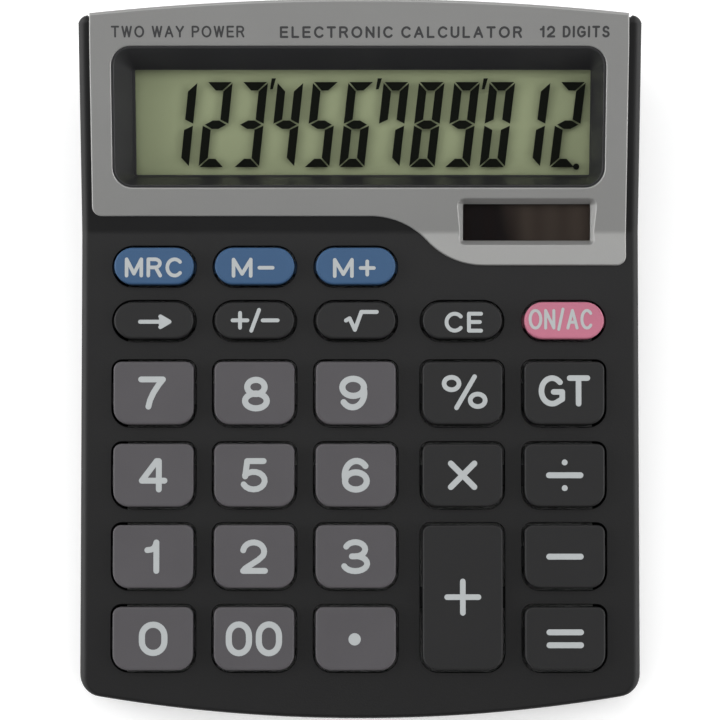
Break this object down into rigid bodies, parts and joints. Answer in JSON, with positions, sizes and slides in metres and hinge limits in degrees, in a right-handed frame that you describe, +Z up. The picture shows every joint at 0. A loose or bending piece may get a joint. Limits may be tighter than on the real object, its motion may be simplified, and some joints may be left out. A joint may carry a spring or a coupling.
{
  "type": "desk calculator",
  "caption": "Wedge-shaped solar desk calculator with a sloped display section, sprung rectangular and oval keys, and a battery cover at the rear.",
  "frame": {"origin": "centre of the footprint at the bottom of the feet", "axes": "+X to the right of the keypad, +Y from the front edge towards the display, +Z up"},
  "size_m": [0.105, 0.132, 0.0367],
  "materials": {
    "case_black": "fine matte texture",
    "base_black": "fine matte texture",
    "silver_paint": "silver-grey paint, satin",
    "bezel_black": "satin",
    "clear_glass": "clear",
    "lcd_reflector": "greenish-grey, matte",
    "inner_white": "matte",
    "film_brown": "satin",
    "solar_tint": "glossy, dark tinted",
    "solar_dark": "dark with fine strips",
    "wire_red": "satin",
    "wire_black": "satin",
    "silicone": "matte",
    "board_green": "satin",
    "resin_black": "semi-gloss",
    "component": "satin",
    "cell_steel": "satin",
    "contact_metal": "satin",
    "screw_steel": "satin",
    "foot_rubber": "matte",
    "key_grey": "fine satin",
    "key_black": "fine satin",
    "key_blue": "fine satin",
    "key_pink": "fine satin"
  },
  "bodies": {
    "case": {"top_case": "case_black", "bottom_case": "base_black", "face_plate": "silver_paint", "display_bezel": "bezel_black", "lcd_glass": "clear_glass", "lcd_reflector": "lcd_reflector", "lcd_holder": "inner_white", "lcd_ribbon": "film_brown", "solar_window": "solar_tint", "solar_cell": "solar_dark", "solar_leads": "wire_red", "key_mat": "silicone", "main_board": "board_green", "chip_cover": "resin_black", "board_parts": "component", "button_cell": "cell_steel", "contact_plus": "contact_metal", "contact_minus": "contact_metal", "battery_leads": "wire_black", "case_screws": "screw_steel", "board_screws": "screw_steel", "foot_front_left": "foot_rubber", "foot_front_right": "foot_rubber", "foot_rear_left": "foot_rubber", "foot_rear_right": "foot_rubber"},
    "battery_cover": {"battery_door": "base_black"},
    "key_mrc_body": {"key_mrc": "key_blue"},
    "key_m_minus_body": {"key_m_minus": "key_blue"},
    "key_m_plus_body": {"key_m_plus": "key_blue"},
    "key_back_body": {"key_back": "key_black"},
    "key_sign_body": {"key_sign": "key_black"},
    "key_root_body": {"key_root": "key_black"},
    "key_ce_body": {"key_ce": "key_black"},
    "key_on_ac_body": {"key_on_ac": "key_pink"},
    "key_7_body": {"key_7": "key_grey"},
    "key_8_body": {"key_8": "key_grey"},
    "key_9_body": {"key_9": "key_grey"},
    "key_percent_body": {"key_percent": "key_black"},
    "key_gt_body": {"key_gt": "key_black"},
    "key_4_body": {"key_4": "key_grey"},
    "key_5_body": {"key_5": "key_grey"},
    "key_6_body": {"key_6": "key_grey"},
    "key_multiply_body": {"key_multiply": "key_black"},
    "key_divide_body": {"key_divide": "key_black"},
    "key_1_body": {"key_1": "key_grey"},
    "key_2_body": {"key_2": "key_grey"},
    "key_3_body": {"key_3": "key_grey"},
    "key_plus_body": {"key_plus": "key_black"},
    "key_minus_body": {"key_minus": "key_black"},
    "key_0_body": {"key_0": "key_grey"},
    "key_00_body": {"key_00": "key_grey"},
    "key_point_body": {"key_point": "key_grey"},
    "key_equals_body": {"key_equals": "key_black"}
  },
  "joints": [
    {"name": "press_mrc", "type": "slide", "parent": "case", "child": "key_mrc_body", "axis": [0, 0.0958, -0.9954], "range_m": [0, 0.0012], "stiffness_N_per_m": 400, "springref_m": -0.0004},
    {"name": "press_m_minus", "type": "slide", "parent": "case", "child": "key_m_minus_body", "axis": [0, 0.0958, -0.9954], "range_m": [0, 0.0012], "stiffness_N_per_m": 400, "springref_m": -0.0004},
    {"name": "press_m_plus", "type": "slide", "parent": "case", "child": "key_m_plus_body", "axis": [0, 0.0958, -0.9954], "range_m": [0, 0.0012], "stiffness_N_per_m": 400, "springref_m": -0.0004},
    {"name": "press_back", "type": "slide", "parent": "case", "child": "key_back_body", "axis": [0, 0.0958, -0.9954], "range_m": [0, 0.0012], "stiffness_N_per_m": 400, "springref_m": -0.0004},
    {"name": "press_sign", "type": "slide", "parent": "case", "child": "key_sign_body", "axis": [0, 0.0958, -0.9954], "range_m": [0, 0.0012], "stiffness_N_per_m": 400, "springref_m": -0.0004},
    {"name": "press_root", "type": "slide", "parent": "case", "child": "key_root_body", "axis": [0, 0.0958, -0.9954], "range_m": [0, 0.0012], "stiffness_N_per_m": 400, "springref_m": -0.0004},
    {"name": "press_ce", "type": "slide", "parent": "case", "child": "key_ce_body", "axis": [0, 0.0958, -0.9954], "range_m": [0, 0.0012], "stiffness_N_per_m": 400, "springref_m": -0.0004},
    {"name": "press_on_ac", "type": "slide", "parent": "case", "child": "key_on_ac_body", "axis": [0, 0.0958, -0.9954], "range_m": [0, 0.0012], "stiffness_N_per_m": 400, "springref_m": -0.0004},
    {"name": "press_7", "type": "slide", "parent": "case", "child": "key_7_body", "axis": [0, 0.0958, -0.9954], "range_m": [0, 0.0012], "stiffness_N_per_m": 400, "springref_m": -0.0004},
    {"name": "press_8", "type": "slide", "parent": "case", "child": "key_8_body", "axis": [0, 0.0958, -0.9954], "range_m": [0, 0.0012], "stiffness_N_per_m": 400, "springref_m": -0.0004},
    {"name": "press_9", "type": "slide", "parent": "case", "child": "key_9_body", "axis": [0, 0.0958, -0.9954], "range_m": [0, 0.0012], "stiffness_N_per_m": 400, "springref_m": -0.0004},
    {"name": "press_percent", "type": "slide", "parent": "case", "child": "key_percent_body", "axis": [0, 0.0958, -0.9954], "range_m": [0, 0.0012], "stiffness_N_per_m": 400, "springref_m": -0.0004},
    {"name": "press_gt", "type": "slide", "parent": "case", "child": "key_gt_body", "axis": [0, 0.0958, -0.9954], "range_m": [0, 0.0012], "stiffness_N_per_m": 400, "springref_m": -0.0004},
    {"name": "press_4", "type": "slide", "parent": "case", "child": "key_4_body", "axis": [0, 0.0958, -0.9954], "range_m": [0, 0.0012], "stiffness_N_per_m": 400, "springref_m": -0.0004},
    {"name": "press_5", "type": "slide", "parent": "case", "child": "key_5_body", "axis": [0, 0.0958, -0.9954], "range_m": [0, 0.0012], "stiffness_N_per_m": 400, "springref_m": -0.0004},
    {"name": "press_6", "type": "slide", "parent": "case", "child": "key_6_body", "axis": [0, 0.0958, -0.9954], "range_m": [0, 0.0012], "stiffness_N_per_m": 400, "springref_m": -0.0004},
    {"name": "press_multiply", "type": "slide", "parent": "case", "child": "key_multiply_body", "axis": [0, 0.0958, -0.9954], "range_m": [0, 0.0012], "stiffness_N_per_m": 400, "springref_m": -0.0004},
    {"name": "press_divide", "type": "slide", "parent": "case", "child": "key_divide_body", "axis": [0, 0.0958, -0.9954], "range_m": [0, 0.0012], "stiffness_N_per_m": 400, "springref_m": -0.0004},
    {"name": "press_1", "type": "slide", "parent": "case", "child": "key_1_body", "axis": [0, 0.0958, -0.9954], "range_m": [0, 0.0012], "stiffness_N_per_m": 400, "springref_m": -0.0004},
    {"name": "press_2", "type": "slide", "parent": "case", "child": "key_2_body", "axis": [0, 0.0958, -0.9954], "range_m": [0, 0.0012], "stiffness_N_per_m": 400, "springref_m": -0.0004},
    {"name": "press_3", "type": "slide", "parent": "case", "child": "key_3_body", "axis": [0, 0.0958, -0.9954], "range_m": [0, 0.0012], "stiffness_N_per_m": 400, "springref_m": -0.0004},
    {"name": "press_plus", "type": "slide", "parent": "case", "child": "key_plus_body", "axis": [0, 0.0958, -0.9954], "range_m": [0, 0.0012], "stiffness_N_per_m": 400, "springref_m": -0.0004},
    {"name": "press_minus", "type": "slide", "parent": "case", "child": "key_minus_body", "axis": [0, 0.0958, -0.9954], "range_m": [0, 0.0012], "stiffness_N_per_m": 400, "springref_m": -0.0004},
    {"name": "press_0", "type": "slide", "parent": "case", "child": "key_0_body", "axis": [0, 0.0958, -0.9954], "range_m": [0, 0.0012], "stiffness_N_per_m": 400, "springref_m": -0.0004},
    {"name": "press_00", "type": "slide", "parent": "case", "child": "key_00_body", "axis": [0, 0.0958, -0.9954], "range_m": [0, 0.0012], "stiffness_N_per_m": 400, "springref_m": -0.0004},
    {"name": "press_point", "type": "slide", "parent": "case", "child": "key_point_body", "axis": [0, 0.0958, -0.9954], "range_m": [0, 0.0012], "stiffness_N_per_m": 400, "springref_m": -0.0004},
    {"name": "press_equals", "type": "slide", "parent": "case", "child": "key_equals_body", "axis": [0, 0.0958, -0.9954], "range_m": [0, 0.0012], "stiffness_N_per_m": 400, "springref_m": -0.0004},
    {"name": "battery_cover_slide", "type": "slide", "parent": "case", "child": "battery_cover", "axis": [0, 1, 0], "range_m": [0, 0.018]}
  ]
}
